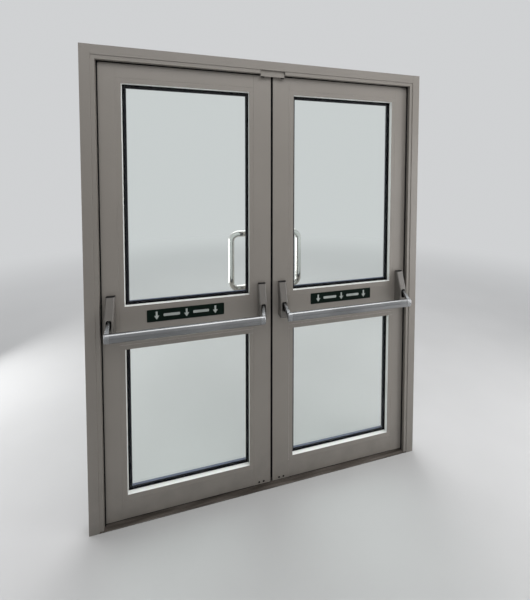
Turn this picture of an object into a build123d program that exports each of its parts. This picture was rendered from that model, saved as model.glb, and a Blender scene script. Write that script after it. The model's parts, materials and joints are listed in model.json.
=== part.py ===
"""A glazed double door with its frame: two aluminium leaves that open outwards, each with
a push bar inside, a pull handle outside, two sealed glass units and concealed bolts.

Millimetres, +Z up. X = 0 is the meeting line of the leaves, Z = 0 the floor, and Y = 0 the
middle of the frame's depth, with +Y outdoors. The right leaf (X > 0) is modelled and
mirrored in X for the left one.
"""
from build123d import *
from math import atan2, cos, degrees, radians, sin, sqrt
import os

# Frame
frame_width = 1710.0
frame_height = 2195.0
frame_depth = 80.0
frame_face = 43.0            # face width of the hollow box of jambs and head
frame_wall = 2.5
edge_radius = 1.2            # rounding of the long outer edges of every extrusion
stop_face = 17.0             # the stop strip snapped on the box, seen beside its face
stop_set_back = 3.0
stop_wall = 1.8
frame_gasket_thickness = 5.7
frame_gasket_show = 4.5      # width of black gasket seen beyond the stop
frame_gasket_hold = 7.0      # width of gasket held behind the stop
frame_gasket_bend = 9.0      # inner radius where it turns from jamb to head
threshold_height = 5.0
threshold_lip_height = 2.5
threshold_bevel = 12.0
anchor_hole = 8.5            # holes for the screws into the wall, hidden under the stops
anchor_from_floor = 150.0    # lowest of these holes
anchor_from_top = 155.0      # highest, below the top of the jamb
anchor_count = 4

# Leaves
leaf_recess = 28.0           # inner face of the leaf behind the inner face of the frame
leaf_thickness = 50.0
leaf_side_gap = 4.0
leaf_top_gap = 5.0
leaf_bottom_gap = 5.0
meeting_gap = 11.0
stile_sight_width = 111.0
top_rail_sight_height = 102.0
mid_rail_sight_height = 202.0
mid_rail_centre_height = 925.0
bottom_rail_sight_height = 115.0
section_wall = 2.2
glazing_leg_height = 22.0    # fixed leg outside the glass, and the bead inside it
glazing_leg_thickness = 2.5

# Glazing
bead_wall = 1.6
pane_thickness = 4.0
pane_cavity = 12.0
gasket_thickness = 2.5
gasket_lip = 4.0             # gasket seen beyond the bead
gasket_hold = 5.0            # gasket held behind the bead
pane_edge_cover = 12.0
spacer_show = 14.0           # spacer and its seal seen beyond the bead

# Seals on the leaf
seal_width = 8.0
seal_clearance = 0.3
meeting_seal_gap = 2.6
meeting_seal_from_face = 20.0
meeting_strip_thickness = 2.0        # the strip in front of the seal, on the same edge
meeting_strip_set_back = 1.5
bottom_seal_from_face = 2.0
seal_end_cut = 2.0

# Hinges
hinge_from_leaf_bottom = 220.0
hinge_from_leaf_top = 217.0
hinge_length = 102.0
hinge_stand_off = 9.0        # pin centre beyond the outer face of the frame
knuckle_diameter = 14.0
hinge_pin_diameter = 8.0
hinge_pin_clearance = 0.05
hinge_flap_width = 32.0
hinge_flap_thickness = 5.0
knuckle_clearance = 2.0
knuckle_end_gap = 0.4

# Push bar
bar_height = 936.0
bar_stand_off = 107.0        # bar centre in front of the leaf
bar_section_height = 44.0
bar_section_depth = 25.0
bar_wall = 2.0
bar_plug_length = 24.0
bar_plug_clearance = 0.1
bar_travel = 22.0            # degrees
meeting_arm_inset = 48.5     # arm centre from the meeting edge of the leaf
hinge_arm_inset = 55.0       # arm centre from the hinge edge of the leaf
arm_pivot_above_bar = 41.0
arm_pivot_stand_off = 22.0
arm_root_width = 10.0        # inside the casing
arm_flare_start = 50.0       # the arm widens from here, measured out from the leaf
arm_flare_bend = 25.0
arm_depth = 22.0
arm_edge_radius = 4.0
arm_cap_length = 22.0
cap_end_radius = 5.0
meeting_cap_outset = -2.0    # from the arm's centre out to the end of the cap
hinge_cap_outset = 6.0
hub_diameter = 27.0
hub_side_clearance = 0.8
tail_reach = 18.0            # how far the latch arm's tail goes in behind the leaf's face
tail_height = 12.0
tail_width = 8.0
tail_clearance = 2.0
arm_pin_diameter = 8.0
arm_pin_clearance = 0.05
arm_pin_seat = 1.5           # depth of the blind seats in the casing's cheeks

# Arm casings
casing_width = 38.0
casing_above_pivot = 105.0
casing_below_bar = 34.0
casing_top_depth = 20.0
casing_depth = 52.0
casing_shoulder_above_pivot = 13.0
casing_toe_radius = 17.0
casing_wall = 3.0
casing_edge_radius = 6.0
slot_clearance = 2.0         # above and below the arm
slot_width = 22.0
slot_corner_radius = 8.0

# Concealed bolts in the meeting stile
bolt_diameter = 16.0
bolt_rod_diameter = 10.0
bolt_head_length = 60.0
bolt_throw = 14.0
bolt_tip_chamfer = 3.0
bottom_bolt_throw = 9.0
bolt_rod_gap = 40.0          # between the two rods, behind the casing
bolt_travel = 15.0           # way of each bolt when the bar is pushed home
lock_case_height = 160.0
lock_case_depth = 20.0
lock_case_beyond_bolt = 20.0
guide_width = 42.0
guide_height = 30.0
guide_clearance = 0.1
guide_hole_spacing = 24.0
guide_hole_diameter = 7.0
guide_hole_height = 12.0     # above the lower edge of the leaf
keep_clearance = 2.0         # slots in head and threshold, each side of the bolt

# Strike plate over the head gap
strike_length = 122.0
strike_height = 29.0
strike_thickness = 3.0
strike_stand_off = 15.0      # plate in front of the leaf
strike_roof_depth = 48.0
strike_cut_clearance = 2.0

# Pull handle
handle_centres = 300.0
handle_height = 1163.0
handle_tube = 34.0
handle_fixing_inset = 56.0   # from the meeting edge of the leaf
handle_grip_offset = 129.0   # from the fixings to the grip
handle_stand_off = 92.0
handle_bend_radius = 38.0
handle_foot_radius = 34.0
stud_diameter = 8.0
stud_clearance = 0.05
stud_in_handle = 18.0
stud_in_leaf = 12.0
stud_nut_across = 17.0
stud_nut_thickness = 6.5

# Places worked out from the sizes
frame_inner_y = -frame_depth / 2
frame_outer_y = frame_depth / 2
box_inner_x = frame_width / 2 - frame_face
head_underside = frame_height - frame_face
stop_edge_x = box_inner_x - stop_face
stop_edge_z = head_underside - stop_face
leaf_inner_y = frame_inner_y + leaf_recess
leaf_outer_y = leaf_inner_y + leaf_thickness
leaf_hinge_x = box_inner_x - leaf_side_gap
leaf_meeting_x = meeting_gap / 2
leaf_bottom = threshold_height + leaf_bottom_gap
leaf_top = head_underside - leaf_top_gap
hinge_x = box_inner_x - leaf_side_gap / 2
hinge_y = frame_outer_y + hinge_stand_off
sight_x0 = leaf_meeting_x + stile_sight_width
sight_x1 = leaf_hinge_x - stile_sight_width
lower_sight = (leaf_bottom + bottom_rail_sight_height, mid_rail_centre_height - mid_rail_sight_height / 2)
upper_sight = (mid_rail_centre_height + mid_rail_sight_height / 2, leaf_top - top_rail_sight_height)
meeting_arm_x = leaf_meeting_x + meeting_arm_inset
hinge_arm_x = leaf_hinge_x - hinge_arm_inset
outer_leg_y = leaf_outer_y - glazing_leg_thickness
outer_pane_y = outer_leg_y - gasket_thickness - pane_thickness
inner_pane_y = outer_pane_y - pane_cavity - pane_thickness
bead_back_y = inner_pane_y - gasket_thickness
bolt_y = (leaf_inner_y + leaf_outer_y) / 2
stop_inner_y = frame_inner_y + stop_set_back
stop_outer_y = leaf_inner_y - seal_clearance - frame_gasket_thickness
anchor_y = (stop_inner_y + stop_outer_y) / 2
anchor_spacing = (frame_height - anchor_from_top - anchor_from_floor) / (anchor_count - 1)
hinge_low = leaf_bottom + hinge_from_leaf_bottom
hinge_high = leaf_top - hinge_from_leaf_top
hinge_heights = (hinge_low, (hinge_low + hinge_high) / 2, hinge_high)
arm_pivot_height = bar_height + arm_pivot_above_bar
casing_bottom = bar_height - casing_below_bar
casing_top = arm_pivot_height + casing_above_pivot
casing_shoulder_height = arm_pivot_height + casing_shoulder_above_pivot


def rectangle(u0, u1, v0, v1):
    return Pos((u0 + u1) / 2, (v0 + v1) / 2) * Rectangle(abs(u1 - u0), abs(v1 - v0))


def rounded(section, radius):
    return fillet(section.vertices(), radius)


def upright(section, z0, z1):
    """A section drawn in X and Y, extruded from z0 up to z1."""
    return extrude(Pos(0, 0, z0) * section, amount=z1 - z0)


def across(section, x0, x1):
    """A section drawn in Z and Y, extruded from x0 to x1."""
    plane = Plane(origin=(x1, 0, 0), x_dir=(0, 0, 1), z_dir=(-1, 0, 0))
    return extrude(plane * section, amount=x1 - x0)


def inward(section, y0, y1):
    """A section drawn in X and Z, extruded from y0 to y1."""
    plane = Plane(origin=(0, y1, 0), x_dir=(1, 0, 0), z_dir=(0, -1, 0))
    return extrude(plane * section, amount=y1 - y0)


def side_view(section, x_centre, width):
    """A section drawn with the distance in front of the leaf and Z, width wide about x_centre."""
    plane = Plane(origin=(x_centre, leaf_inner_y, 0), x_dir=(0, -1, 0), z_dir=(-1, 0, 0))
    return extrude(plane * section, amount=width / 2, both=True)


def rod(diameter, start, axis, length):
    plane = Plane(origin=start, z_dir=axis)
    return extrude(plane * Circle(diameter / 2), amount=length)


def mirrored(shape):
    return mirror(shape, about=Plane.YZ)


# Frame members: hollow boxes, with the snap-on stop strips beside them
def frame_box(u0, u1):
    outer = rounded(rectangle(u0, u1, frame_inner_y, frame_outer_y), edge_radius)
    y0 = frame_inner_y + frame_wall
    y1 = frame_outer_y - frame_wall
    return outer - rectangle(u0 + frame_wall, u1 - frame_wall, y0, y1)


def stop_strip(u0, u1):
    """A channel that opens towards the box, with its flat face indoors."""
    channel = rectangle(u0 + stop_wall, u1, stop_inner_y + stop_wall, stop_outer_y - stop_wall)
    return rectangle(u0, u1, stop_inner_y, stop_outer_y) - channel


def jamb():
    post = upright(frame_box(box_inner_x, frame_width / 2), 0, frame_height)
    for number in range(anchor_count):
        height = anchor_from_floor + number * anchor_spacing
        start = (box_inner_x - frame_wall, anchor_y, height)
        post -= rod(anchor_hole, start, (1, 0, 0), frame_face + 2 * frame_wall)
    return post


def keep_slot(z0, z1):
    """The way that a thrown bolt takes outwards, cut in head and threshold."""
    half = bolt_diameter / 2 + keep_clearance
    x0 = meeting_arm_x - half
    x1 = meeting_arm_x + half
    slot = rectangle(x0, x1, bolt_y - half, frame_outer_y + frame_wall)
    return upright(slot, z0, z1)


def head():
    rail = across(frame_box(head_underside, frame_height), -box_inner_x, box_inner_x)
    slot = keep_slot(head_underside - frame_wall, leaf_top + bolt_throw + keep_clearance)
    return rail - slot - mirrored(slot)


def threshold():
    flat = Polyline(
        (0, frame_inner_y),
        (threshold_lip_height, frame_inner_y),
        (threshold_height, frame_inner_y + threshold_bevel),
        (threshold_height, frame_outer_y - threshold_bevel),
        (threshold_lip_height, frame_outer_y),
        (0, frame_outer_y),
        (0, frame_inner_y),
    )
    plate = across(make_face(flat), -box_inner_x, box_inner_x)
    slot = keep_slot(-threshold_height, 2 * threshold_height)
    return plate - slot - mirrored(slot)


def jamb_stop():
    return upright(stop_strip(stop_edge_x, box_inner_x), threshold_height, head_underside)


def head_stops():
    """Two strips between the jamb stops, parted in the middle for the strike plate."""
    half = strike_length / 2 + strike_cut_clearance
    strip = across(stop_strip(stop_edge_z, head_underside), half, stop_edge_x)
    return [strip, mirrored(strip)]


def frame_gaskets():
    """Each gasket runs up a jamb and along half the head, and the closed leaf meets it."""
    low = threshold_height
    half = strike_length / 2 + strike_cut_clearance
    held = frame_gasket_hold
    outline = rectangle(half, stop_edge_x + held, low, stop_edge_z + held)
    window = rectangle(0, stop_edge_x - frame_gasket_show, 0, stop_edge_z - frame_gasket_show)
    corner = window.vertices().sort_by(Axis.X)[-2:].sort_by(Axis.Y)[-1]
    window = fillet(corner, frame_gasket_bend)
    strip = inward(outline - window, stop_outer_y, leaf_inner_y - seal_clearance)
    return [strip, mirrored(strip)]


def strike():
    """A folded plate that covers the head gap and guards the tips of both top bolts."""
    y0 = leaf_inner_y - strike_stand_off - strike_thickness
    roof = head_underside - strike_thickness
    fold = rectangle(head_underside - strike_height, head_underside, y0, y0 + strike_thickness)
    fold += rectangle(roof, head_underside, y0, y0 + strike_roof_depth)
    plate = across(fold, -strike_length / 2, strike_length / 2)
    slot = keep_slot(roof - strike_thickness, frame_height)
    return plate - slot - mirrored(slot)


# Leaf members: a hollow box with a glazing leg at the outdoor side of each glazed edge
def member(u0, u1, leg_low, leg_high):
    outer = rounded(rectangle(u0, u1, leaf_inner_y, leaf_outer_y), edge_radius)
    if leg_low:
        outer += rectangle(u0 - glazing_leg_height, u0 + section_wall, outer_leg_y, leaf_outer_y)
    if leg_high:
        outer += rectangle(u1 - section_wall, u1 + glazing_leg_height, outer_leg_y, leaf_outer_y)
    y0 = leaf_inner_y + section_wall
    y1 = leaf_outer_y - section_wall
    return outer - rectangle(u0 + section_wall, u1 - section_wall, y0, y1)


def meeting_stile():
    section = member(leaf_meeting_x, sight_x0 - glazing_leg_height, False, True)
    stile = upright(section, leaf_bottom, leaf_top)
    for side in (-1, 1):
        x = meeting_arm_x + side * guide_hole_spacing / 2
        start = (x, leaf_inner_y - section_wall, leaf_bottom + guide_hole_height)
        stile -= rod(guide_hole_diameter, start, (0, 1, 0), 2 * section_wall)
    for start in stud_places():
        stile -= rod(stud_diameter + 2 * stud_clearance, start, (0, -1, 0), stud_in_leaf)
    return stile - tail_slot(-section_wall, section_wall)


def hinge_stile():
    return upright(member(sight_x1 + glazing_leg_height, leaf_hinge_x, True, False), leaf_bottom, leaf_top)


def rail(z0, z1, leg_low, leg_high):
    """A rail between the boxes of the stiles, notched over the legs of the stiles."""
    x0 = sight_x0 - glazing_leg_height
    x1 = sight_x1 + glazing_leg_height
    bar = across(member(z0, z1, leg_low, leg_high), x0, x1)
    for leg in ((x0, sight_x0), (sight_x1, x1)):
        notch = rectangle(leg[0], leg[1], outer_leg_y, leaf_outer_y)
        bar -= upright(notch, leaf_bottom, leaf_top)
    return bar


def top_rail():
    return rail(upper_sight[1] + glazing_leg_height, leaf_top, True, False)


def mid_rail():
    return rail(lower_sight[1] + glazing_leg_height, upper_sight[0] - glazing_leg_height, True, True)


def bottom_rail():
    return rail(leaf_bottom, lower_sight[0] - glazing_leg_height, False, True)


# Glazing: two panes on a spacer, gaskets on both faces, and four beads snapped in indoors
def around_sight(sight, outside, inside):
    """A flat ring in X and Z, from outside the sight line to inside it."""
    outer = rectangle(sight_x0 - outside, sight_x1 + outside, sight[0] - outside, sight[1] + outside)
    return outer - rectangle(sight_x0 + inside, sight_x1 - inside, sight[0] + inside, sight[1] - inside)


def panes(sight):
    cover = pane_edge_cover
    outline = rectangle(sight_x0 - cover, sight_x1 + cover, sight[0] - cover, sight[1] + cover)
    return [inward(outline, y, y + pane_thickness) for y in (inner_pane_y, outer_pane_y)]


def spacer(sight):
    ring = around_sight(sight, pane_edge_cover, spacer_show)
    return inward(ring, inner_pane_y + pane_thickness, outer_pane_y)


def glazing_gaskets(sight):
    ring = around_sight(sight, gasket_hold, gasket_lip)
    inner = inward(ring, bead_back_y, inner_pane_y)
    outer = inward(ring, outer_pane_y + pane_thickness, outer_leg_y)
    return [inner, outer]


def bead_section(u_sight, u_member):
    """A channel with its back to the glass, open towards the box that carries it."""
    low = min(u_sight, u_member)
    high = max(u_sight, u_member)
    inner_low = low + bead_wall if u_sight < u_member else low
    inner_high = high if u_sight < u_member else high - bead_wall
    hollow = rectangle(inner_low, inner_high, leaf_inner_y + bead_wall, bead_back_y - bead_wall)
    solid = rectangle(low, high, leaf_inner_y, bead_back_y)
    front = solid.vertices().group_by(Axis.Y)[0]
    return fillet(front, edge_radius / 2) - hollow


def beads(sight):
    """The upper and lower beads run from stile to stile, and the others stand between them."""
    h = glazing_leg_height
    long_beads = [
        across(bead_section(sight[1], sight[1] + h), sight_x0 - h, sight_x1 + h),
        across(bead_section(sight[0], sight[0] - h), sight_x0 - h, sight_x1 + h),
    ]
    side_beads = [
        upright(bead_section(sight_x0, sight_x0 - h), sight[0], sight[1]),
        upright(bead_section(sight_x1, sight_x1 + h), sight[0], sight[1]),
    ]
    return long_beads + side_beads


def edge_seals():
    """A rubber strip in the meeting edge and one under the leaf."""
    meeting_y = leaf_inner_y + meeting_seal_from_face
    meeting = rectangle(meeting_seal_gap / 2, leaf_meeting_x, meeting_y, meeting_y + seal_width)
    strip_x = leaf_meeting_x - meeting_strip_thickness
    meeting += rectangle(strip_x, leaf_meeting_x, leaf_inner_y + meeting_strip_set_back, meeting_y)
    bottom_y = leaf_inner_y + bottom_seal_from_face
    low = threshold_height + seal_clearance
    bottom = rectangle(low, leaf_bottom, bottom_y, bottom_y + seal_width)
    return [
        upright(meeting, leaf_bottom + seal_end_cut, leaf_top - seal_end_cut),
        across(bottom, leaf_meeting_x + seal_end_cut, leaf_hinge_x - seal_end_cut),
    ]


# Hinges: three to a leaf, a middle knuckle on the leaf between two on the frame
def hinge_flap(side, face_y):
    """The flap of one hinge in X and Y. side is -1 on the leaf and 1 on the frame."""
    near = hinge_x + side * (knuckle_diameter / 2 + knuckle_clearance)
    return rectangle(near, near + side * hinge_flap_width, face_y, face_y + hinge_flap_thickness)


def knuckle(side, face_y):
    """A knuckle with the neck that joins it to its flap, bored for the pin."""
    reach = hinge_x + side * (knuckle_diameter + knuckle_clearance)
    neck = rectangle(hinge_x, reach, hinge_y - knuckle_diameter / 2, hinge_y)
    root = rectangle(reach - side * knuckle_diameter / 2, reach, face_y, hinge_y)
    barrel = Pos(hinge_x, hinge_y) * Circle(knuckle_diameter / 2)
    bore = Pos(hinge_x, hinge_y) * Circle(hinge_pin_diameter / 2 + hinge_pin_clearance)
    return neck + root + barrel - bore


def leaf_hinge_flaps():
    third = hinge_length / 3
    flaps = []
    for height in hinge_heights:
        low = height - hinge_length / 2
        flap = upright(hinge_flap(-1, leaf_outer_y), low, low + hinge_length)
        from_third = low + third + knuckle_end_gap
        middle = upright(knuckle(-1, leaf_outer_y), from_third, low + 2 * third - knuckle_end_gap)
        flaps.append(flap + middle)
    return flaps


def frame_hinge_flaps():
    third = hinge_length / 3
    flaps = []
    for height in hinge_heights:
        low = height - hinge_length / 2
        flap = upright(hinge_flap(1, frame_outer_y), low, low + hinge_length)
        flap += upright(knuckle(1, frame_outer_y), low, low + third)
        flap += upright(knuckle(1, frame_outer_y), low + 2 * third, low + hinge_length)
        flaps.append(flap)
    return flaps


def hinge_pins():
    pins = [rod(hinge_pin_diameter, (hinge_x, hinge_y, height - hinge_length / 2), (0, 0, 1), hinge_length)
            for height in hinge_heights]
    return pins + [mirrored(pin) for pin in pins]


# Push bar: an oval tube on two curved arms that turn on pins inside the casings
arm_reach = bar_stand_off - arm_pivot_stand_off
arm_rise = arm_pivot_above_bar
arm_curve = (arm_reach ** 2 + arm_rise ** 2) / (2 * arm_rise)      # level at the pin, and through the bar
arm_curve_height = arm_pivot_height - arm_curve
arm_end_angle = degrees(atan2(bar_height - arm_curve_height, arm_reach))
tail_half = tail_height / 2


def tail_slot(out0, out1):
    """Room for the swinging tail, from out0 to out1 in front of the leaf's face."""
    turn = radians(bar_travel)
    rise = (tail_reach + arm_pivot_stand_off) * sin(turn) + tail_half * cos(turn)
    low = arm_pivot_height - tail_half - tail_clearance
    room = rectangle(out0, out1, low, arm_pivot_height + rise + tail_clearance)
    return side_view(room, meeting_arm_x, tail_width + 2 * tail_clearance)


def casing_outline(back):
    """The casing seen from the side: thin at the top, full depth over the arm, round at the toe."""
    points = [
        (back, casing_bottom),
        (casing_depth, casing_bottom),
        (casing_depth, casing_shoulder_height),
        (casing_top_depth, casing_top),
        (back, casing_top),
    ]
    face = make_face(Polyline(*points, points[0]))
    toe = face.vertices().sort_by_distance((casing_depth, casing_bottom))[0]
    return fillet(toe, casing_toe_radius)


def arm_low_edge():
    """Height of the lower edge of the pushed arm where it passes the casing's face."""
    turn = radians(bar_travel)
    centre_out = arm_pivot_stand_off - arm_curve * sin(turn)
    centre_height = arm_pivot_height - arm_curve * cos(turn)
    inner_curve = arm_curve - arm_depth / 2
    return centre_height + sqrt(inner_curve ** 2 - (casing_depth - centre_out) ** 2)


def arm_pin(x_centre):
    length = casing_width - 2 * casing_wall + 2 * arm_pin_seat
    disc = Pos(arm_pivot_stand_off, arm_pivot_height) * Circle(arm_pin_diameter / 2)
    return side_view(disc, x_centre, length)


def casing(x_centre):
    shell = side_view(casing_outline(0), x_centre, casing_width)
    long_edges = shell.edges().filter_by(Axis.X, reverse=True)
    front = [e for e in long_edges if e.center().Y < leaf_inner_y - edge_radius]
    shell = fillet(front, casing_edge_radius)
    room = offset(casing_outline(-casing_wall), amount=-casing_wall)
    shell -= side_view(room, x_centre, casing_width - 2 * casing_wall)
    slot_top = arm_pivot_height + arm_depth / 2 + slot_clearance
    half = slot_width / 2
    slot = rectangle(x_centre - half, x_centre + half, arm_low_edge() - slot_clearance, slot_top)
    slot = rounded(slot, slot_corner_radius)
    shell -= inward(slot, leaf_inner_y - 2 * casing_depth, leaf_inner_y - arm_pivot_stand_off)
    return shell - arm_pin(x_centre)


def bar_oval(inset):
    oval = Ellipse(bar_section_depth / 2 - inset, bar_section_height / 2 - inset)
    return Pos(bar_stand_off, bar_height) * oval


def latch_arm():
    """The arm at the meeting stile has a tail that works the lock case inside the stile."""
    low = arm_pivot_height - tail_half
    lever = rectangle(-tail_reach, arm_pivot_stand_off - hub_diameter / 4, low, low + tail_height)
    return arm(meeting_arm_x, 1, meeting_cap_outset) + side_view(lever, meeting_arm_x, tail_width)


def arm_plan(x_centre, x_caps):
    """The arm seen from above: narrow in its casing, and as wide as its cap at the front of the bar."""
    half = arm_root_width / 2
    flare_y = leaf_inner_y - arm_flare_start
    front_y = leaf_inner_y - bar_stand_off - bar_section_depth / 2
    outline = Polyline(
        (x_centre - half, leaf_inner_y),
        (x_centre - half, flare_y),
        (x_caps[0], front_y),
        (x_caps[1], front_y),
        (x_centre + half, flare_y),
        (x_centre + half, leaf_inner_y),
        close=True,
    )
    plan = make_face(outline)
    bends = plan.vertices().sort_by(Axis.Y)[2:4]
    return fillet(bends, arm_flare_bend)


def arm(x_centre, towards_bar, cap_outset):
    """A curved arm with its hub, the cap on the bar's end and the plug inside the bar."""
    centre = (arm_pivot_stand_off, arm_curve_height)
    sweep_angle = 90 - arm_end_angle
    outer = CenterArc(centre, arm_curve + arm_depth / 2, arm_end_angle, sweep_angle)
    inner = CenterArc(centre, arm_curve - arm_depth / 2, arm_end_angle, sweep_angle)
    lever = make_face([outer, inner, Line(outer @ 0, inner @ 0), Line(outer @ 1, inner @ 1)])
    cap_outer = x_centre - towards_bar * cap_outset
    cap_inner = cap_outer + towards_bar * arm_cap_length
    plan = arm_plan(x_centre, sorted((cap_outer, cap_inner)))
    body = side_view(lever, x_centre, 4 * arm_cap_length)
    body &= upright(plan, bar_height - arm_depth, arm_pivot_height + arm_depth)
    curved = [e for e in body.edges() if e.geom_type != GeomType.LINE]
    body = fillet(curved, arm_edge_radius)
    hub = Pos(arm_pivot_stand_off, arm_pivot_height) * Circle(hub_diameter / 2)
    body += side_view(hub, x_centre, casing_width - 2 * casing_wall - 2 * hub_side_clearance)
    cap = side_view(bar_oval(0), (cap_outer + cap_inner) / 2, arm_cap_length)
    cap_end = cap.edges().sort_by(Axis.X)[0 if towards_bar > 0 else -1]
    body += fillet(cap_end, cap_end_radius)
    plug_centre = cap_inner + towards_bar * bar_plug_length / 2
    body += side_view(bar_oval(bar_wall + bar_plug_clearance), plug_centre, bar_plug_length)
    bore = Pos(arm_pivot_stand_off, arm_pivot_height) * Circle(arm_pin_diameter / 2 + arm_pin_clearance)
    return body - side_view(bore, x_centre, casing_width)


def push_bar():
    x0 = meeting_arm_x - meeting_cap_outset + arm_cap_length
    x1 = hinge_arm_x + hinge_cap_outset - arm_cap_length
    return side_view(bar_oval(0) - bar_oval(bar_wall), (x0 + x1) / 2, x1 - x0)


# Concealed bolts: a rod with a thicker head that slides in a guide at each end of the stile
def bolt(tip, direction, length):
    """A bolt from its tip back into the stile. direction is 1 for the top bolt, -1 for the bottom one."""
    head_face = Circle(bolt_diameter / 2)
    start = tip - direction * bolt_head_length
    head_piece = extrude(Plane(origin=(meeting_arm_x, bolt_y, start), z_dir=(0, 0, direction)) * head_face,
                         amount=bolt_head_length)
    tip_edge = head_piece.edges().sort_by(Axis.Z)[-1 if direction > 0 else 0]
    head_piece = chamfer(tip_edge, bolt_tip_chamfer)
    return head_piece + rod(bolt_rod_diameter, (meeting_arm_x, bolt_y, start), (0, 0, -direction),
                            length - bolt_head_length)


def top_bolt():
    tip = leaf_top + bolt_throw
    return bolt(tip, 1, tip - arm_pivot_height - bolt_rod_gap / 2)


def bottom_bolt():
    tip = leaf_bottom - bottom_bolt_throw
    return bolt(tip, -1, arm_pivot_height - bolt_rod_gap / 2 - tip)


def lock_case():
    """A case on the stile's edge wall, bored for both rods and slotted for the arm's tail."""
    y0 = bolt_y - lock_case_depth / 2
    x0 = leaf_meeting_x + section_wall
    face = rectangle(x0, meeting_arm_x + lock_case_beyond_bolt, y0, y0 + lock_case_depth)
    low = arm_pivot_height - lock_case_height / 2
    case = upright(face, low, low + lock_case_height)
    blind = bolt_rod_gap / 2 - bolt_travel - keep_clearance
    for side in (-1, 1):
        start = (meeting_arm_x, bolt_y, arm_pivot_height + side * blind)
        case -= rod(bolt_rod_diameter + 2 * guide_clearance, start, (0, 0, side), lock_case_height)
    return case - tail_slot(-tail_reach - tail_clearance, 0)


def bolt_guides():
    y0 = leaf_inner_y + section_wall
    y1 = leaf_outer_y - section_wall
    block = rectangle(meeting_arm_x - guide_width / 2, meeting_arm_x + guide_width / 2, y0, y1)
    block -= Pos(meeting_arm_x, bolt_y) * Circle(bolt_diameter / 2 + guide_clearance)
    return [
        upright(block, leaf_top - guide_height, leaf_top),
        upright(block, leaf_bottom, leaf_bottom + guide_height),
        lock_case(),
    ]


# Pull handle: a tube that leaves the stile, turns over the glass and comes back
def stud_places():
    x = leaf_meeting_x + handle_fixing_inset
    return [(x, leaf_outer_y, handle_height + side * handle_centres / 2) for side in (1, -1)]


def pull_handle():
    upper, lower = stud_places()
    x_grip = upper[0] + handle_grip_offset
    y_grip = leaf_outer_y + handle_stand_off
    route = FilletPolyline(
        upper,
        (upper[0], y_grip, upper[2]),
        (x_grip, y_grip, upper[2]),
        (x_grip, y_grip, lower[2]),
        (lower[0], y_grip, lower[2]),
        lower,
        radius=[handle_foot_radius, handle_bend_radius, handle_bend_radius, handle_foot_radius],
    )
    tube = sweep(Plane(origin=upper, z_dir=(0, 1, 0)) * Circle(handle_tube / 2), path=route)
    for start in (upper, lower):
        tube -= rod(stud_diameter + 2 * stud_clearance, start, (0, 1, 0), stud_in_handle)
    return tube


def handle_studs():
    """A stud in each end of the handle, with its nut behind the outer wall of the stile."""
    studs = []
    for x, y, z in stud_places():
        stud = rod(stud_diameter, (x, y - stud_in_leaf, z), (0, 1, 0), stud_in_leaf + stud_in_handle)
        seat = Plane(origin=(x, y - section_wall, z), z_dir=(0, -1, 0))
        hexagon = RegularPolygon(stud_nut_across / 2, 6, major_radius=False)
        studs.append(stud + extrude(seat * hexagon, amount=stud_nut_thickness))
    return studs


def save(name, shape):
    if isinstance(shape, list):
        shape = Compound(children=shape) if len(shape) > 1 else shape[0]
    export_step(shape, os.path.join("parts", name + ".step"))


def build_frame():
    save("right_jamb", jamb())
    save("left_jamb", mirrored(jamb()))
    save("head", head())
    save("threshold", threshold())
    save("right_jamb_stop", jamb_stop())
    save("left_jamb_stop", mirrored(jamb_stop()))
    save("head_stops", head_stops())
    save("frame_gaskets", frame_gaskets())
    save("head_strike", strike())
    save("hinge_pins", hinge_pins())


def leaf_pieces():
    """Every piece of the right leaf, by name, with the frame's half of its hinges."""
    return {
        "meeting_stile": [meeting_stile()],
        "hinge_stile": [hinge_stile()],
        "top_rail": [top_rail()],
        "mid_rail": [mid_rail()],
        "bottom_rail": [bottom_rail()],
        "upper_panes": panes(upper_sight),
        "lower_panes": panes(lower_sight),
        "pane_spacers": [spacer(upper_sight), spacer(lower_sight)],
        "upper_beads": beads(upper_sight),
        "lower_beads": beads(lower_sight),
        "glazing_gaskets": glazing_gaskets(upper_sight) + glazing_gaskets(lower_sight),
        "edge_seals": edge_seals(),
        "leaf_hinge_flaps": leaf_hinge_flaps(),
        "frame_hinge_flaps": frame_hinge_flaps(),
        "meeting_casing": [casing(meeting_arm_x)],
        "hinge_casing": [casing(hinge_arm_x)],
        "meeting_arm": [latch_arm()],
        "hinge_arm": [arm(hinge_arm_x, -1, hinge_cap_outset)],
        "arm_pins": [arm_pin(meeting_arm_x), arm_pin(hinge_arm_x)],
        "push_bar": [push_bar()],
        "top_bolt": [top_bolt()],
        "bottom_bolt": [bottom_bolt()],
        "bolt_guides": bolt_guides(),
        "pull_handle": [pull_handle()],
        "handle_studs": handle_studs(),
    }


os.makedirs("parts", exist_ok=True)
build_frame()
for piece, solids in leaf_pieces().items():
    save("right_" + piece, solids)
    save("left_" + piece, [mirrored(solid) for solid in solids])
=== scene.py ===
"""Dresses the glazed double door: finishes, fasteners, sign plates, a plain studio and the camera."""
import json
from math import cos, pi, radians, sqrt

import bmesh
import bpy
from mathutils import Matrix, Vector


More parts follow.
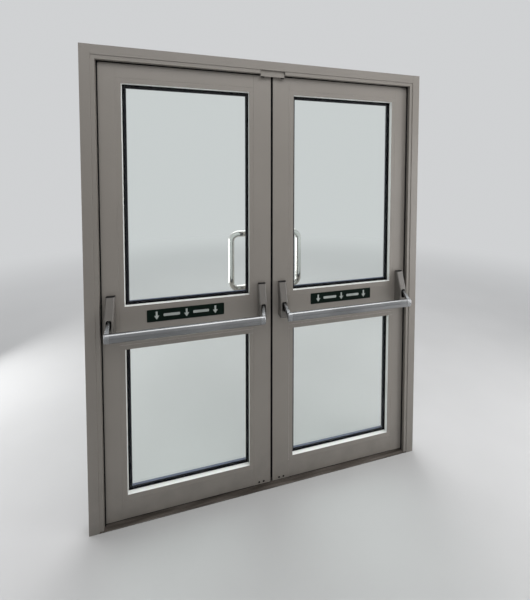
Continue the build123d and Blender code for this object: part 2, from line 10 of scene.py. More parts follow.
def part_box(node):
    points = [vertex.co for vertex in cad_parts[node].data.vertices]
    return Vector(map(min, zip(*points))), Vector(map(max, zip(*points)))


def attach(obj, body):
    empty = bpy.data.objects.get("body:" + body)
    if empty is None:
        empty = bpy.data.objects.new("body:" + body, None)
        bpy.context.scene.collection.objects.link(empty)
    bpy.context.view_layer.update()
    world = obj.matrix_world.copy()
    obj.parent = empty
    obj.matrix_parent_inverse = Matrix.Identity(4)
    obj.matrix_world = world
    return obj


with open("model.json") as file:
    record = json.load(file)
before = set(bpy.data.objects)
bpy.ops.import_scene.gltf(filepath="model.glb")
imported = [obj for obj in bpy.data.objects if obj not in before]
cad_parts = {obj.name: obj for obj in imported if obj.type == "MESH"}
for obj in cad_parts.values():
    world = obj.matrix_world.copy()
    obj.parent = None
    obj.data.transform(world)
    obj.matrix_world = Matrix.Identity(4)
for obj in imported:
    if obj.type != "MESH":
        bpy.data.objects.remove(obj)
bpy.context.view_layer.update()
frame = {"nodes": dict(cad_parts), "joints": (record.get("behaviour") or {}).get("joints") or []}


# Frame extrusions: jambs, head and stops.
# Hollow aluminium boxes with a warm grey powder coat, which shows a fine orange peel close up,
# slight tone changes along its length and dust where it nears the floor.
FRAME_GREY = (0.226, 0.207, 0.185)
FRAME_DUST_TOP = 0.35
DUST_COVER = 0.55
DUST_SHARE = 0.62
DUST_VEIL = 0.01
RETURN_LIMIT = 0.4
NOISE_RANGE = (0.3, 0.7)
MIX_COLOUR_INPUTS = (6, 7)
MIX_COLOUR_OUTPUT = 2


def node_maker(tree):
    """A function that adds a node to tree and sets its settings and sockets by their names."""

    def node(kind, **settings):
        made = tree.nodes.new("ShaderNode" + kind)
        for key, value in settings.items():
            if hasattr(made, key):
                setattr(made, key, value)
            else:
                made.inputs[key.replace("_", " ")].default_value = value
        return made

    return node


def finish(name, **sockets):
    """A new material: the material, its node maker, its link maker and its Principled shader."""
    material = bpy.data.materials.new(name)
    material.use_nodes = True
    tree = material.node_tree
    shader = tree.nodes["Principled BSDF"]
    for socket, value in sockets.items():
        shader.inputs[socket.replace("_", " ")].default_value = value
    return material, node_maker(tree), tree.links.new, shader


def coordinate(node, link, kind, axis):
    """The X, Y or Z of one kind of texture coordinates."""
    axes = node("SeparateXYZ")
    link(node("TexCoord").outputs[kind], axes.inputs["Vector"])
    return axes.outputs[axis]


def calculate(node, link, operation, first, second=None):
    """A sum on the socket first. Its other side, second, is a number, a socket or nothing."""
    step = node("Math", operation=operation)
    link(first, step.inputs[0])
    if isinstance(second, (int, float)):
        step.inputs[1].default_value = second
    elif second is not None:
        link(second, step.inputs[1])
    return step.outputs["Value"]


def remap(node, link, source, start, end, first, last, **settings):
    """Goes from first to last as source goes from start to end."""
    scale = node("MapRange", From_Min=start, From_Max=end, To_Min=first, To_Max=last, **settings)
    link(source, scale.inputs["Value"])
    return scale.outputs["Result"]


def grain(node, link, scale, detail, stretch=(1, 1, 1)):
    """Noise on Object coordinates, with stretch above 1 along an axis for shorter marks there."""
    squeeze = node("Mapping", Scale=stretch)
    link(node("TexCoord").outputs["Object"], squeeze.inputs["Vector"])
    marks = node("TexNoise", Scale=scale, Detail=detail)
    link(squeeze.outputs["Vector"], marks.inputs["Vector"])
    return marks.outputs["Fac"]


def spread(node, link, noise, low, high):
    """Stretches a noise, which keeps mostly to NOISE_RANGE, over the values from low to high."""
    return remap(node, link, noise, *NOISE_RANGE, low, high)


def ramp(node, link, source, colour_low, colour_high, low=0.35, high=0.65):
    """Runs from colour_low to colour_high as source goes from low to high."""
    blend = node("ValToRGB")
    stops = zip(blend.color_ramp.elements, (low, high), (colour_low, colour_high))
    for stop, position, colour in stops:
        stop.position = position
        stop.color = (*colour, 1)
    link(source, blend.inputs["Fac"])
    return blend.outputs["Color"]


def mix_colours(node, link, factor, first, second):
    """Shows first where factor is 0 and second where it is 1. Each is a colour or a socket.

    The node's colour sockets share their names with others, so they are found by number.
    """
    blend = node("Mix", data_type="RGBA")
    link(factor, blend.inputs["Factor"])
    for number, colour in zip(MIX_COLOUR_INPUTS, (first, second)):
        if isinstance(colour, tuple):
            blend.inputs[number].default_value = (*colour, 1)
        else:
            link(colour, blend.inputs[number])
    return blend.outputs[MIX_COLOUR_OUTPUT]


def bump(node, link, shader, height, strength, distance):
    """Roughens the surface by the socket height, which stands for a relief of distance metres."""
    relief = node("Bump", Strength=strength, Distance=distance)
    link(height, relief.inputs["Height"])
    link(relief.outputs["Normal"], shader.inputs["Normal"])


def shade(colour, share, veil=0.0):
    """The colour at a share of its brightness, under a thin grey veil."""
    return tuple(share * channel + veil for channel in colour)


def powder_coat(name, colour, dust_top, painted_highlight=None):
    """Powder coat, dusty below dust_top.

    The last argument, if given, is a painted daylight highlight colour for the returns: faces whose
    normal has a Y under RETURN_LIMIT.
    """
    material, node, link, shader = finish(name, Specular_IOR_Level=0.4,
                                          Coat_Weight=0.1, Coat_Roughness=0.3)
    tone = ramp(node, link, grain(node, link, scale=2.3, detail=4), shade(colour, share=0.93), colour)
    # The returns take a painted daylight highlight in place of the coat's colour.
    if painted_highlight:
        across = calculate(node, link, "ABSOLUTE", coordinate(node, link, "Normal", "Y"))
        highlight_mask = calculate(node, link, "LESS_THAN", across, RETURN_LIMIT)
        tone = mix_colours(node, link, highlight_mask, tone, painted_highlight)
    height = coordinate(node, link, "Object", "Z")
    near_floor = remap(node, link, height, start=dust_top, end=0.0, first=0.0, last=DUST_COVER)
    patches = spread(node, link, grain(node, link, scale=14, detail=6), low=0.1, high=1.0)
    dust = calculate(node, link, "MULTIPLY", near_floor, patches)
    dusty = mix_colours(node, link, dust, tone, shade(colour, DUST_SHARE, DUST_VEIL))
    link(dusty, shader.inputs["Base Color"])
    handling = grain(node, link, scale=30, detail=5)
    link(spread(node, link, handling, low=0.38, high=0.52), shader.inputs["Roughness"])
    bump(node, link, shader, grain(node, link, scale=620, detail=2), strength=0.10, distance=0.0004)
    return material


def wear(nodes, material):
    """Gives CAD nodes their finish."""
    for name in nodes:
        slots = frame["nodes"][name].data.materials
        slots.clear()
        slots.append(material)


def both(*names):
    """The right and left node of each name."""
    return [side + "_" + name for name in names for side in ("right", "left")]


frame_coat = powder_coat("frame coat", FRAME_GREY, FRAME_DUST_TOP)
wear(both("jamb", "jamb_stop") + ["head", "head_stops", "head_strike"], frame_coat)


# Threshold: a flat aluminium strip that every shoe crosses.
# Extruded with low ribs along its length, worn dull and brown with ground-in dirt.
MM = 0.001
RIB_PITCH = 5.5 * MM
DIRT_TONES = ((0.050, 0.040, 0.032), (0.150, 0.130, 0.112))
GROOVE_DIRT = (0.018, 0.014, 0.012)
GROOVE_COVER = 0.75


def worn_strip():
    """Ribbed bare metal, with dirt all over it and more in its grooves."""
    material, node, link, shader = finish("worn strip", Metallic=0.35)
    across = coordinate(node, link, "Object", "Y")
    turns = calculate(node, link, "MULTIPLY", across, 2 * pi / RIB_PITCH)
    ribs = calculate(node, link, "SINE", turns)
    scuffs = grain(node, link, scale=30, detail=8, stretch=(0.15, 2, 1))
    dirt = ramp(node, link, scuffs, *DIRT_TONES, low=0.36, high=0.66)
    grooves = remap(node, link, ribs, start=-1.0, end=-0.5, first=GROOVE_COVER, last=0.0)
    link(mix_colours(node, link, grooves, dirt, GROOVE_DIRT), shader.inputs["Base Color"])
    rubbing = grain(node, link, scale=60, detail=6, stretch=(0.3, 3, 1))
    link(spread(node, link, rubbing, low=0.40, high=0.7), shader.inputs["Roughness"])
    bump(node, link, shader, ribs, strength=0.5, distance=0.0006)
    return material


wear(["threshold"], worn_strip())


# Rubber: frame gaskets, glazing gaskets and the seals on the leaf's edges.
# Black extruded strip pressed into grooves, dull, with a fine grain and a little pale bloom.
RUBBER_TONES = ((0.0030, 0.0030, 0.0034), (0.008, 0.008, 0.009))


def rubber():
    """Dull black rubber with pale patches of bloom."""
    material, node, link, shader = finish("black rubber", Roughness=0.7, Specular_IOR_Level=0.08)
    bloom = grain(node, link, scale=45, detail=5)
    link(ramp(node, link, bloom, *RUBBER_TONES, low=0.4, high=0.75), shader.inputs["Base Color"])
    bump(node, link, shader, grain(node, link, scale=500, detail=2), strength=0.15, distance=0.0003)
    return material


black_rubber = rubber()
wear(["frame_gaskets"] + both("glazing_gaskets", "edge_seals"), black_rubber)


# Leaves: stiles and rails of hollow extrusion, cut square and joined behind their faces.
# The same coat as the frame, a little paler, and handled dirty near the floor.
LEAF_GREY = (0.240, 0.220, 0.197)
LEAF_DUST_TOP = 0.30
leaf_coat = powder_coat("leaf coat", LEAF_GREY, LEAF_DUST_TOP)
wear(both("meeting_stile", "hinge_stile", "top_rail", "mid_rail", "bottom_rail"), leaf_coat)


# Glazing beads: thin aluminium channels snapped in round each glass.
# Coated like the leaves. Their returns towards the glass carry a painted daylight highlight, near white.
PAINTED_RETURN_HIGHLIGHT = (0.86, 0.86, 0.84)
BEAD_DUST_TOP = 0.10
wear(both("upper_beads", "lower_beads"), powder_coat("bead coat with painted highlight", LEAF_GREY, BEAD_DUST_TOP, PAINTED_RETURN_HIGHLIGHT))


# Sealed glass units: two clear panes on a spacer bar.
# Float glass, wiped but never quite clean. The spacer between the panes is dark coated metal,
# with a painted sky highlight, paler and bluer, along its foot, where it faces up.
PANE_TINT = (0.955, 0.978, 0.968, 1)
PANE_IOR = 1.33
PANE_SHADOW = (0.90, 0.93, 0.92, 1)
SPACER_TONES = ((0.004, 0.005, 0.010), (0.009, 0.011, 0.019))
SPACER_FOOT_SKY_HIGHLIGHT = (0.095, 0.110, 0.165)
FACES_UP_LIMIT = 0.6


def mix_shaders(node, link, factor, first, second, output):
    """Gives the output node the shader first where factor is 0, and second where it is 1."""
    choose = node("MixShader")
    for source, socket in zip((factor, first, second), choose.inputs):
        link(source, socket)
    link(choose.outputs["Shader"], output.inputs["Surface"])


def clear_glass():
    """Clear glass that casts only a faint tint of shadow."""
    material, node, link, shader = finish("clear glass", Base_Color=PANE_TINT,
                                          Transmission_Weight=1.0, IOR=PANE_IOR)
    smears = grain(node, link, scale=3.5, detail=5)
    link(spread(node, link, smears, low=0.0, high=0.02), shader.inputs["Roughness"])
    shadow = node("BsdfTransparent", Color=PANE_SHADOW).outputs["BSDF"]
    is_shadow = node("LightPath").outputs["Is Shadow Ray"]
    output = material.node_tree.nodes["Material Output"]
    mix_shaders(node, link, is_shadow, shader.outputs["BSDF"], shadow, output)
    return material


def spacer_bar():
    """Dark coated metal, with a painted sky highlight on the faces that look up."""
    material, node, link, shader = finish("spacer bar", Roughness=0.6, Specular_IOR_Level=0.05)
    tone = ramp(node, link, grain(node, link, scale=40, detail=4), *SPACER_TONES)
    upwards = coordinate(node, link, "Normal", "Z")
    painted_sky_mask = calculate(node, link, "GREATER_THAN", upwards, FACES_UP_LIMIT)
    # The foot's paler, bluer colour is a painted sky highlight.
    link(mix_colours(node, link, painted_sky_mask, tone, SPACER_FOOT_SKY_HIGHLIGHT), shader.inputs["Base Color"])
    return material


wear(both("upper_panes", "lower_panes"), clear_glass())
wear(both("pane_spacers"), spacer_bar())


# Arm casings: cast metal covers, painted a shade darker than the leaves and fixed from behind.
# Painted shade inside: the inner faces are near black. A black plastic end plate is pressed on the top of
# each; its black stands in part for the shade along the casing's top.
CASING_GREY = (0.140, 0.129, 0.117)
PAINTED_SLOT_SHADE = (0.008, 0.008, 0.008)
CASING_HEART = 0.35
NYLON_TONES = ((0.005, 0.005, 0.006), (0.011, 0.011, 0.012))
END_PLATE_THICKNESS = 1.6 * MM
END_PLATE_SUNK = 0.4 * MM
END_PLATE_EDGE = 0.5 * MM
END_PLATE_INSET = 0.6 * MM
END_PLATE_DEPTH = 20.4 * MM
END_PLATE_CORNER = 5.5 * MM
SHARP_ANGLE = radians(32)


def casing_paint(name, middle):
    """Satin paint outside, and painted shade, near black, on the inner faces, which look towards the
    point middle.
    """
    material, node, link, shader = finish(name, Coat_Weight=0.12, Coat_Roughness=0.3)
    patches = grain(node, link, scale=9, detail=4)
    tone = ramp(node, link, patches, shade(CASING_GREY, share=0.9), CASING_GREY)
    here = node("TexCoord")
    outward = node("VectorMath", operation="SUBTRACT")
    outward.inputs[1].default_value = middle
    link(here.outputs["Object"], outward.inputs[0])
    agreement = node("VectorMath", operation="DOT_PRODUCT")
    link(outward.outputs["Vector"], agreement.inputs[0])
    link(here.outputs["Normal"], agreement.inputs[1])
    # Inner faces are painted near black as the shade in the slot.
    inner_shade_mask = calculate(node, link, "LESS_THAN", agreement.outputs["Value"], 0.0)
    link(mix_colours(node, link, inner_shade_mask, tone, PAINTED_SLOT_SHADE), shader.inputs["Base Color"])
    handling = grain(node, link, scale=35, detail=5)
    link(spread(node, link, handling, low=0.36, high=0.5), shader.inputs["Roughness"])
    bump(node, link, shader, grain(node, link, scale=900, detail=2), strength=0.08, distance=0.0003)
    return material


def nylon():
    """Black moulded nylon, finely textured."""
    material, node, link, shader = finish("black nylon", Roughness=0.55, Specular_IOR_Level=0.2)
    tone = ramp(node, link, grain(node, link, scale=60, detail=4), *NYLON_TONES, low=0.4, high=0.6)
    link(tone, shader.inputs["Base Color"])
    bump(node, link, shader, grain(node, link, scale=400, detail=3), strength=0.1, distance=0.0003)
    return material


def piece(name, shape, material, body):
    """Makes a finished piece from a bmesh, riding on a body."""
    mesh = bpy.data.meshes.new(name)
    bmesh.ops.recalc_face_normals(shape, faces=shape.faces)
    shape.to_mesh(mesh)
    shape.free()
    mesh.shade_smooth()
    mesh.set_sharp_from_angle(angle=SHARP_ANGLE)
    made = bpy.data.objects.new(name, mesh)
    bpy.context.scene.collection.objects.link(made)
    mesh.materials.append(material)
    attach(made, body)


def box_corners(shape, low, high):
    """Adds a sharp box from low to high, and gives its corners."""
    corners = bmesh.ops.create_cube(shape, size=1)["verts"]
    bmesh.ops.scale(shape, vec=[b - a for a, b in zip(low, high)], verts=corners)
    bmesh.ops.translate(shape, vec=[(a + b) / 2 for a, b in zip(low, high)], verts=corners)
    return corners


def round_off(shape, edges, radius, steps):
    """Rounds edges of shape to a radius."""
    bmesh.ops.bevel(shape, geom=edges, offset=radius, segments=steps, profile=0.5,
                    affect="EDGES", material=-1)


def end_plate(shape, low, high):
    """Adds the flat top of a casing, with its two front corners rounded like the casing's."""
    box_corners(shape, low, high)
    middle_y = (low[1] + high[1]) / 2
    half_rise = (high[2] - low[2]) / 2
    front = [edge for edge in shape.edges if all(vert.co.y < middle_y for vert in edge.verts)]
    upright = [edge for edge in front if abs(edge.verts[0].co.z - edge.verts[1].co.z) > half_rise]
    round_off(shape, upright, END_PLATE_CORNER, steps=6)
    near_top = high[2] - half_rise / 2
    upper = [edge for edge in shape.edges if all(vert.co.z > near_top for vert in edge.verts)]
    round_off(shape, upper, END_PLATE_EDGE, steps=3)


black_nylon = nylon()
for name in both("meeting_casing", "hinge_casing"):
    low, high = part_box(name)
    heart_y = high[1] - CASING_HEART * (high[1] - low[1])
    heart_z = low[2] + CASING_HEART * (high[2] - low[2])
    heart = ((low[0] + high[0]) / 2, heart_y, heart_z)
    wear([name], casing_paint(name.replace("_", " ") + " paint", heart))
    # The black end plate stands in part for the shade along the casing's top.
    top = bmesh.new()
    end_plate(top, (low[0] + END_PLATE_INSET, high[1] - END_PLATE_DEPTH, high[2] - END_PLATE_SUNK),
              (high[0] - END_PLATE_INSET, high[1], high[2] + END_PLATE_THICKNESS))
    piece(name + "_end_plate", top, black_nylon, name.split("_")[0] + "_leaf")


# Push bars and arms: oval aluminium tube between two cast arms.
# Satin, with fine drawing lines along the tube and cloudy patches where hands have rubbed.
BAR_TONES = ((0.225, 0.228, 0.232), (0.285, 0.288, 0.292))
BAR_ROUGHNESS = (0.15, 0.25)
ALONG_X = (0.02, 3, 3)
ARM_TONES = ((0.280, 0.285, 0.292), (0.350, 0.355, 0.362))
ARM_ROUGHNESS = (0.24, 0.34)
EVEN = (1, 1, 1)
HUB_DEPTH = 6 * MM


def satin_metal(name, lines, tones, roughness, shade_behind_y=None):
    """Metal whose marks are long where lines is small. Past the given depth in Y, if one is given, it is
    painted near black as shade.
    """
    material, node, link, shader = finish(name, Metallic=1.0)
    brushing = grain(node, link, scale=160, detail=4, stretch=lines)
    tone = ramp(node, link, grain(node, link, scale=6, detail=5), *tones)
    if shade_behind_y is not None:
        depth = coordinate(node, link, "Object", "Y")
        hub_shade_mask = calculate(node, link, "GREATER_THAN", depth, shade_behind_y)
        tone = mix_colours(node, link, hub_shade_mask, tone, PAINTED_SLOT_SHADE)
    link(tone, shader.inputs["Base Color"])
    link(spread(node, link, brushing, *roughness), shader.inputs["Roughness"])
    bump(node, link, shader, brushing, strength=0.12, distance=0.0002)
    return material


casing_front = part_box("right_meeting_casing")[0][1]
wear(both("push_bar"), satin_metal("satin bar", ALONG_X, BAR_TONES, BAR_ROUGHNESS))
# The arm's hub inside the casing is painted near black, as shade in the slot.
arm_metal = satin_metal("satin arm", EVEN, ARM_TONES, ARM_ROUGHNESS, shade_behind_y=casing_front + HUB_DEPTH)
wear(both("meeting_arm", "hinge_arm"), arm_metal)


# Pull handles, bolts, pins and hinge flaps: polished stainless tube, plain steel and duller steel.
# The handle's lines run round the tube, from the polishing belt. Those of the others run upright.
HANDLE_TONES = ((0.76, 0.75, 0.725), (0.87, 0.86, 0.835))
STEEL_TONES = ((0.50, 0.49, 0.47), (0.62, 0.61, 0.59))
HINGE_TONES = ((0.30, 0.29, 0.27), (0.38, 0.37, 0.35))
ROUND_Z = (1, 1, 6)
ALONG_Z = (1, 1, 0.1)
handle_steel = satin_metal("handle steel", ROUND_Z, HANDLE_TONES, roughness=(0.06, 0.13))
plain_steel = satin_metal("plain steel", ALONG_Z, STEEL_TONES, roughness=(0.28, 0.42))
hinge_metal = satin_metal("hinge metal", ALONG_Z, HINGE_TONES, roughness=(0.42, 0.55))
wear(both("pull_handle"), handle_steel)
wear(both("handle_studs", "arm_pins", "top_bolt", "bottom_bolt") + ["hinge_pins"], plain_steel)
wear(both("leaf_hinge_flaps", "frame_hinge_flaps"), hinge_metal)


# Bolt guides: black nylon blocks inside the meeting stiles.
# Only the ends of the guides show, at the top and the bottom of the leaf.
wear(both("bolt_guides"), black_nylon)


# Screws: pan heads with a cross recess.
# Blackened ones hold the foot of each bolt guide, and stainless ones the flaps of the hinges.
SCREW_TONES = ((0.34, 0.33, 0.31), (0.44, 0.43, 0.41))
BLACK_TONES = ((0.010, 0.010, 0.010), (0.022, 0.021, 0.020))
SCREW_SIDES = 24
SCREW_PROFILE = ((1.0, 0.35), (0.93, 0.62), (0.74, 0.86), (0.50, 0.97), (0.42, 1.0))
RECESS_WAIST = 0.35
RECESS_TAPER = 0.8
RECESS_DEPTH = 0.55
GUIDE_SCREW_RADIUS = 5.0 * MM
GUIDE_SCREW_RISE = 2.0 * MM
GUIDE_SCREW_STEP = 12 * MM
GUIDE_SCREW_TURNS = ((-1, 0.3), (1, 1.1))
FLAP_SCREW_RADIUS = 4.8 * MM
FLAP_SCREW_RISE = 1.6 * MM
FLAP_SCREW_STEP = 36 * MM
FLAP_SCREW_INSET = 15 * MM
TURN_BY_HINGE = 0.7
TURN_BY_SCREW = 1.9
FLAP_THICKNESS = 5 * MM
FLAP_LENGTH = 102 * MM
SIDES = (("right", 1), ("left", -1))
INDOORS = (0, -1, 0)
OUTDOORS = (0, 1, 0)


def kinds(geometry, kind):
    """The vertices or the edges among what an operator gives back."""
    return [part for part in geometry if isinstance(part, kind)]


def set_in(shape, part, place):
    """Moves the bmesh part to its place and adds it to shape."""
    bmesh.ops.transform(part, matrix=place, verts=part.verts)
    scratch = bpy.data.meshes.new("part")
    part.to_mesh(scratch)
    part.free()
    shape.from_mesh(scratch)
    bpy.data.meshes.remove(scratch)


def add_screw(shape, radius, rise, place):
    """Adds a domed head with a cross recess to shape. place turns +Z to the way the head faces."""
    dome = bmesh.new()
    bmesh.ops.create_circle(dome, cap_ends=False, segments=SCREW_SIDES, radius=radius)
    edges = list(dome.edges)
    for width, height in SCREW_PROFILE:
        raised = bmesh.ops.extrude_edge_only(dome, edges=edges)["geom"]
        rim = kinds(raised, bmesh.types.BMVert)
        edges = kinds(raised, bmesh.types.BMEdge)
        for vert in rim:
            flat = Vector((vert.co.x, vert.co.y)).normalized() * radius * width
            vert.co = (flat.x, flat.y, rise * height)
    for vert in rim:
        angle = Vector((vert.co.x, vert.co.y)).angle_signed(Vector((1, 0)), 0)
        reach = RECESS_WAIST + (1 - RECESS_WAIST) * abs(cos(2 * angle)) ** 3
        vert.co.x *= reach
        vert.co.y *= reach
    sunk = bmesh.ops.extrude_edge_only(dome, edges=edges)["geom"]
    for vert in kinds(sunk, bmesh.types.BMVert):
        vert.co.x *= RECESS_TAPER
        vert.co.y *= RECESS_TAPER
        vert.co.z -= rise * RECESS_DEPTH
    openings = [edge for edge in dome.edges if edge.is_boundary]
    bmesh.ops.holes_fill(dome, edges=openings, sides=SCREW_SIDES)
    set_in(shape, dome, place)


def facing(point, axis, turn=0):
    """A place whose foot is at point, looking along axis and turned about it."""
    rotation = Vector(axis).to_track_quat("Z", "Y").to_matrix().to_4x4()
    return Matrix.Translation(point) @ rotation @ Matrix.Rotation(turn, 4, "Z")


def hinge_places():
    """Heights of the middles of the three hinges."""
    low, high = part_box("right_leaf_hinge_flaps")
    first = low[2] + FLAP_LENGTH / 2
    last = high[2] - FLAP_LENGTH / 2
    return first, (first + last) / 2, last


screw_steel = satin_metal("screw steel", EVEN, SCREW_TONES, roughness=(0.28, 0.40))
black_steel = satin_metal("black steel", EVEN, BLACK_TONES, roughness=(0.35, 0.5))
for side, sign in SIDES:
    bolt_low, bolt_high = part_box(side + "_bottom_bolt")
    bolt_x = (bolt_low[0] + bolt_high[0]) / 2
    stile_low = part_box(side + "_meeting_stile")[0]
    screws = bmesh.new()
    for step, turn in GUIDE_SCREW_TURNS:
        foot = (bolt_x + step * GUIDE_SCREW_STEP, stile_low[1], stile_low[2] + GUIDE_SCREW_STEP)
        add_screw(screws, GUIDE_SCREW_RADIUS, GUIDE_SCREW_RISE, facing(foot, INDOORS, turn))
    piece(side + "_guide_screws", screws, black_steel, side + "_leaf")
    for half, body, outer in (("leaf", side + "_leaf", -1), ("frame", "frame", 1)):
        low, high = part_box(side + "_" + half + "_hinge_flaps")
        near, far = sorted((abs(low[0]), abs(high[0])))
        screw_x = sign * (far - FLAP_SCREW_INSET if outer > 0 else near + FLAP_SCREW_INSET)
        screws = bmesh.new()
        for count, height in enumerate(hinge_places()):
            for step in (-1, 0, 1):
                foot = (screw_x, low[1] + FLAP_THICKNESS, height + step * FLAP_SCREW_STEP)
                turn = TURN_BY_HINGE * count + TURN_BY_SCREW * step + outer
                add_screw(screws, FLAP_SCREW_RADIUS, FLAP_SCREW_RISE, facing(foot, OUTDOORS, turn))
        piece(side + "_" + half + "_hinge_screws", screws, screw_steel, body)


# Hinge pin caps: small turned domes that close both ends of each knuckle.
# The steel of the hinges, pressed on the pin, each with a groove round its foot.
CAP_FOOT = ((0, 0), (6.6, 0), (6.6, 1.2), (6.0, 1.5), (6.4, 2.0))
CAP_PROFILE = (*CAP_FOOT, (6.4, 3.0), (5.6, 4.3), (3.6, 5.4), (0, 5.8))
LATHE_STEPS = 32
SEAM = 0.01 * MM


def turned(shape, profile, place):
    """Adds a turned form. profile gives its radius and rise in mm, and place turns +Z to its axis."""
    lathe = bmesh.new()
    line = [lathe.verts.new((radius * MM, 0, rise * MM)) for radius, rise in profile]
    edges = [lathe.edges.new(pair) for pair in zip(line, line[1:])]
    bmesh.ops.spin(lathe, geom=line + edges, cent=(0, 0, 0), axis=(0, 0, 1), angle=2 * pi,
                   steps=LATHE_STEPS, use_merge=True)
    bmesh.ops.remove_doubles(lathe, verts=lathe.verts, dist=SEAM)
    set_in(shape, lathe, place)


for side in ("right", "left"):
    swing = next(joint for joint in frame["joints"] if joint["name"] == side + "_leaf_swing")
    axis_x, axis_y = swing["pos_m"][:2]
    caps = bmesh.new()
    for height in hinge_places():
        for way in (-1, 1):
            foot = (axis_x, axis_y, height + way * FLAP_LENGTH / 2)
            turned(caps, CAP_PROFILE, facing(foot, (0, 0, way)))
    piece(side + "_hinge_pin_caps", caps, hinge_metal, "frame")


# Handle roses: turned rings between the feet of each pull handle and the stile.
# The same polished steel as the handle, with a rounded rim.
ROSE_RIM = ((22.5, 0), (23.0, 0.6), (23.0, 2.2), (22.2, 3.0))
ROSE_PROFILE = ((17.3, 0), *ROSE_RIM, (18.2, 3.6), (17.3, 3.2), (17.3, 0))
for side in ("right", "left"):
    low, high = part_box(side + "_handle_studs")
    leaf_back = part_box(side + "_meeting_stile")[1][1]
    nut_radius = (high[0] - low[0]) / sqrt(3)
    roses = bmesh.new()
    for height in (low[2] + nut_radius, high[2] - nut_radius):
        foot = ((low[0] + high[0]) / 2, leaf_back, height)
        turned(roses, ROSE_PROFILE, facing(foot, OUTDOORS))
    piece(side + "_handle_roses", roses, handle_steel, side + "_leaf")


# Strike plate buffers: black rubber pads clipped under both ends of the strike plate.
# They hang a little below its edge, where the tops of the leaves meet. Their black stands in part for the
# shade under the plate's ends.
BUFFER_LENGTH = 17 * MM
BUFFER_FRONT = 0.5 * MM
BUFFER_BACK = 5 * MM
BUFFER_DROP = 5 * MM
BUFFER_GRIP = 1 * MM
BUFFER_INSET = 2 * MM
BUFFER_EDGE = 1.8 * MM
strike_low, strike_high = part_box("head_strike")
for side, sign in SIDES:
    outer = strike_high[0] - BUFFER_INSET
    left_x, right_x = sorted((sign * outer, sign * (outer - BUFFER_LENGTH)))
    buffer = bmesh.new()
    box_corners(buffer, (left_x, strike_low[1] + BUFFER_FRONT, strike_low[2] - BUFFER_DROP),
                (right_x, strike_low[1] + BUFFER_BACK, strike_low[2] + BUFFER_GRIP))
    round_off(buffer, buffer.edges[:], BUFFER_EDGE, steps=3)
    piece(side + "_strike_buffer", buffer, black_rubber, "frame")


# Sign plates: thin plastic with rounded corners, stuck on the mid rail above each push bar.
# Dark green, with plain pale arrows that point down at the bar, and a dash between each two.
SIGN_SIZE = (358 * MM, 58 * MM)
SIGN_THICKNESS = 1.5 * MM
SIGN_CORNER = 4 * MM
SIGN_HEIGHT = 0.970
SIGN_CENTRES = {"right": 0.395, "left": -0.423}
SIGN_GREEN = (0.0018, 0.0075, 0.0048)
PRINT_WHITE = (0.44, 0.47, 0.45)
PRINT_THICKNESS = 0.15 * MM
MARK_STEP = 68 * MM
ARROW_HEIGHT = 38 * MM
ARROW_WIDTH = 0.62 * ARROW_HEIGHT
ARROW_HEAD = ((0.17, -0.02), (0.5, -0.02), (0, -0.5), (-0.5, -0.02), (-0.17, -0.02))
ARROW_OUTLINE = ((-0.17, 0.5), (0.17, 0.5), *ARROW_HEAD)
DASH_SIZE = (1.1 * MARK_STEP, 0.34 * ARROW_HEIGHT)


def plastic(name, colour, roughness):
    """Sheet plastic or its print, slightly uneven in tone."""
    material, node, link, shader = finish(name, Roughness=roughness, Specular_IOR_Level=0.1)
    tone = ramp(node, link, grain(node, link, scale=18, detail=5), shade(colour, share=0.8), colour)
    link(tone, shader.inputs["Base Color"])
    bump(node, link, shader, grain(node, link, scale=350, detail=3), strength=0.06, distance=0.0003)
    return material


def plate(shape, x, size, front_y, thickness):
    """Adds an upright plate with rounded corners at the height of the signs, its front at front_y."""
    low = (x - size[0] / 2, front_y, SIGN_HEIGHT - size[1] / 2)
    high = (x + size[0] / 2, front_y + thickness, SIGN_HEIGHT + size[1] / 2)
    edges = {edge for vert in box_corners(shape, low, high) for edge in vert.link_edges}
    across = [edge for edge in edges if abs((edge.verts[0].co - edge.verts[1].co).y) > thickness / 2]
    round_off(shape, across, SIGN_CORNER, steps=5)


def arrow(shape, x, back_y):
    """Adds a printed arrow that points down: a shaft with a triangle below it."""
    corners = [shape.verts.new((x + across * ARROW_WIDTH, back_y, SIGN_HEIGHT + up * ARROW_HEIGHT))
               for across, up in ARROW_OUTLINE]
    face = shape.faces.new(corners)
    pulled = bmesh.ops.extrude_face_region(shape, geom=[face])["geom"]
    bmesh.ops.translate(shape, vec=(0, -PRINT_THICKNESS, 0), verts=kinds(pulled, bmesh.types.BMVert))


sign_green = plastic("sign green", SIGN_GREEN, roughness=0.5)
sign_white = plastic("sign print", PRINT_WHITE, roughness=0.45)
for side, x in SIGN_CENTRES.items():
    rail_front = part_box(side + "_mid_rail")[0][1]
    sign_front = rail_front - SIGN_THICKNESS
    board = bmesh.new()
    plate(board, x, SIGN_SIZE, sign_front, SIGN_THICKNESS)
    piece(side + "_sign_plate", board, sign_green, side + "_leaf")
    marks = bmesh.new()
    for step in (-2, 0, 2):
        arrow(marks, x + step * MARK_STEP, sign_front)
    for step in (-1, 1):
        plate(marks, x + step * MARK_STEP, DASH_SIZE, sign_front - PRINT_THICKNESS, PRINT_THICKNESS)
    piece(side + "_sign_marks", marks, sign_white, side + "_leaf")


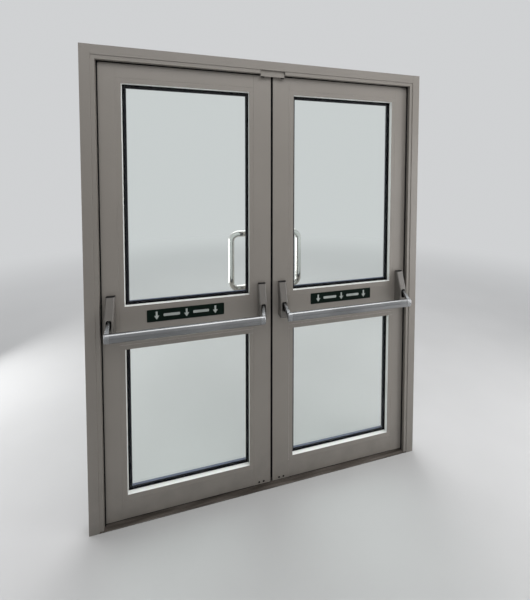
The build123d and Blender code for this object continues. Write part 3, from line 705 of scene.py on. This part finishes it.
# Studio: a pale floor that fades into a pale surround, and soft lamps.
# The lamp overhead indoors draws the bright line on the push bars. Daylight comes from outdoors,
# where a lamp at the side draws the bright edge on the pull handles.
FLOOR_TONES = ((0.52, 0.52, 0.52), (0.55, 0.55, 0.55))
FLOOR_RADIUS = 30
FLOOR_SIDES = 96
BACKDROP = (0.63, 0.64, 0.65, 1)
FADE_FROM = 1.6
FADE_TO = 7.0
INDOOR_GLOW = 0.14
OUTDOOR_GLOW = 0.80
GLOW_TINT = (0.95, 0.97, 1.0, 1)
DOOR_MIDDLE = (0, 0, 1.1)
BAR_MIDDLE = (0, -0.12, 0.94)


def seen_ray(node, link):
    """1 for camera, glossy and transmission rays, which see the backdrop."""
    rays = node("LightPath").outputs
    either = calculate(node, link, "MAXIMUM", rays["Is Camera Ray"], rays["Is Glossy Ray"])
    return calculate(node, link, "MAXIMUM", either, rays["Is Transmission Ray"])


def studio_floor():
    """A pale floor that takes shadows near the door and fades into the backdrop far from it."""
    material, node, link, shader = finish("studio floor", Roughness=0.85)
    patches = grain(node, link, scale=1.5, detail=3)
    link(ramp(node, link, patches, *FLOOR_TONES, low=0.3, high=0.7), shader.inputs["Base Color"])
    far = node("VectorMath", operation="LENGTH")
    link(node("TexCoord").outputs["Object"], far.inputs[0])
    fade = remap(node, link, far.outputs["Value"], start=FADE_FROM, end=FADE_TO, first=0.0, last=1.0,
                 interpolation_type="SMOOTHSTEP")
    amount = calculate(node, link, "MULTIPLY", fade, seen_ray(node, link))
    glow = node("Emission", Color=BACKDROP).outputs["Emission"]
    output = material.node_tree.nodes["Material Output"]
    mix_shaders(node, link, amount, shader.outputs["BSDF"], glow, output)
    return material


ground = bmesh.new()
bmesh.ops.create_circle(ground, cap_ends=True, segments=FLOOR_SIDES, radius=FLOOR_RADIUS)
ground_mesh = bpy.data.meshes.new("floor")
ground.to_mesh(ground_mesh)
ground.free()
floor = bpy.data.objects.new("floor", ground_mesh)
bpy.context.scene.collection.objects.link(floor)
ground_mesh.materials.append(studio_floor())


def soft_lamp(name, place, target, size, power):
    """An area lamp of size (width, height), hidden from the camera and from rays through glass."""
    lamp = bpy.data.lights.new(name, "AREA")
    lamp.shape = "RECTANGLE"
    lamp.size, lamp.size_y = size
    lamp.energy = power
    holder = bpy.data.objects.new(name, lamp)
    bpy.context.scene.collection.objects.link(holder)
    holder.location = place
    holder.rotation_euler = (Vector(target) - Vector(place)).to_track_quat("-Z", "Y").to_euler()
    holder.visible_camera = False
    holder.visible_transmission = False


soft_lamp("indoor left lamp", (-3.4, -3.8, 1.7), target=DOOR_MIDDLE, size=(2.5, 2.5), power=8)
soft_lamp("indoor right lamp", (2.7, -1.25, 1.2), target=(0.6, 0, 1.1), size=(1.2, 1.7), power=38)
soft_lamp("indoor ceiling lamp", (0.4, -2.2, 3.8), target=BAR_MIDDLE, size=(5.2, 2.0), power=88)
soft_lamp("outdoor lamp", (0.4, 3.6, 3.6), target=DOOR_MIDDLE, size=(4.2, 3.4), power=110)
soft_lamp("outdoor side lamp", (-2.4, 1.1, 0.9), target=(-0.1, 0.15, 0.9), size=(1.6, 1.4), power=26)

world = bpy.data.worlds.new("surround")
bpy.context.scene.world = world
world.use_nodes = True
sky = world.node_tree
sky_node = node_maker(sky)
sky_link = sky.links.new
outwards = coordinate(sky_node, sky_link, "Generated", "Y")
daylight = remap(sky_node, sky_link, outwards, start=-0.1, end=0.5, first=INDOOR_GLOW, last=OUTDOOR_GLOW)
glow = sky.nodes["Background"]
glow.inputs["Color"].default_value = GLOW_TINT
sky_link(daylight, glow.inputs["Strength"])
backdrop = sky_node("Background", Color=BACKDROP)
mix_shaders(sky_node, sky_link, seen_ray(sky_node, sky_link), glow.outputs["Background"],
            backdrop.outputs["Background"], sky.nodes["World Output"])


# Camera: indoors, left of the door's middle, at eye height, with a wide lens.
# The shift keeps the door's uprights nearly parallel, as the photograph has them.
EYE_PLACE = (-0.388, -1.587, 1.635)
EYE_DIP = 0.0394
EYE_ROLL = -0.002
EYE_TURN = -0.267
view = bpy.data.cameras.new("camera")
view.lens = 19.03
view.sensor_width = 36.0
view.shift_x = -0.0247
view.shift_y = -0.1877
eye = bpy.data.objects.new("camera", view)
bpy.context.scene.collection.objects.link(eye)
eye.location = EYE_PLACE
eye.rotation_euler = (pi / 2 - EYE_DIP, EYE_ROLL, EYE_TURN)
bpy.context.scene.camera = eye
bpy.context.scene.view_settings.view_transform = "Standard"
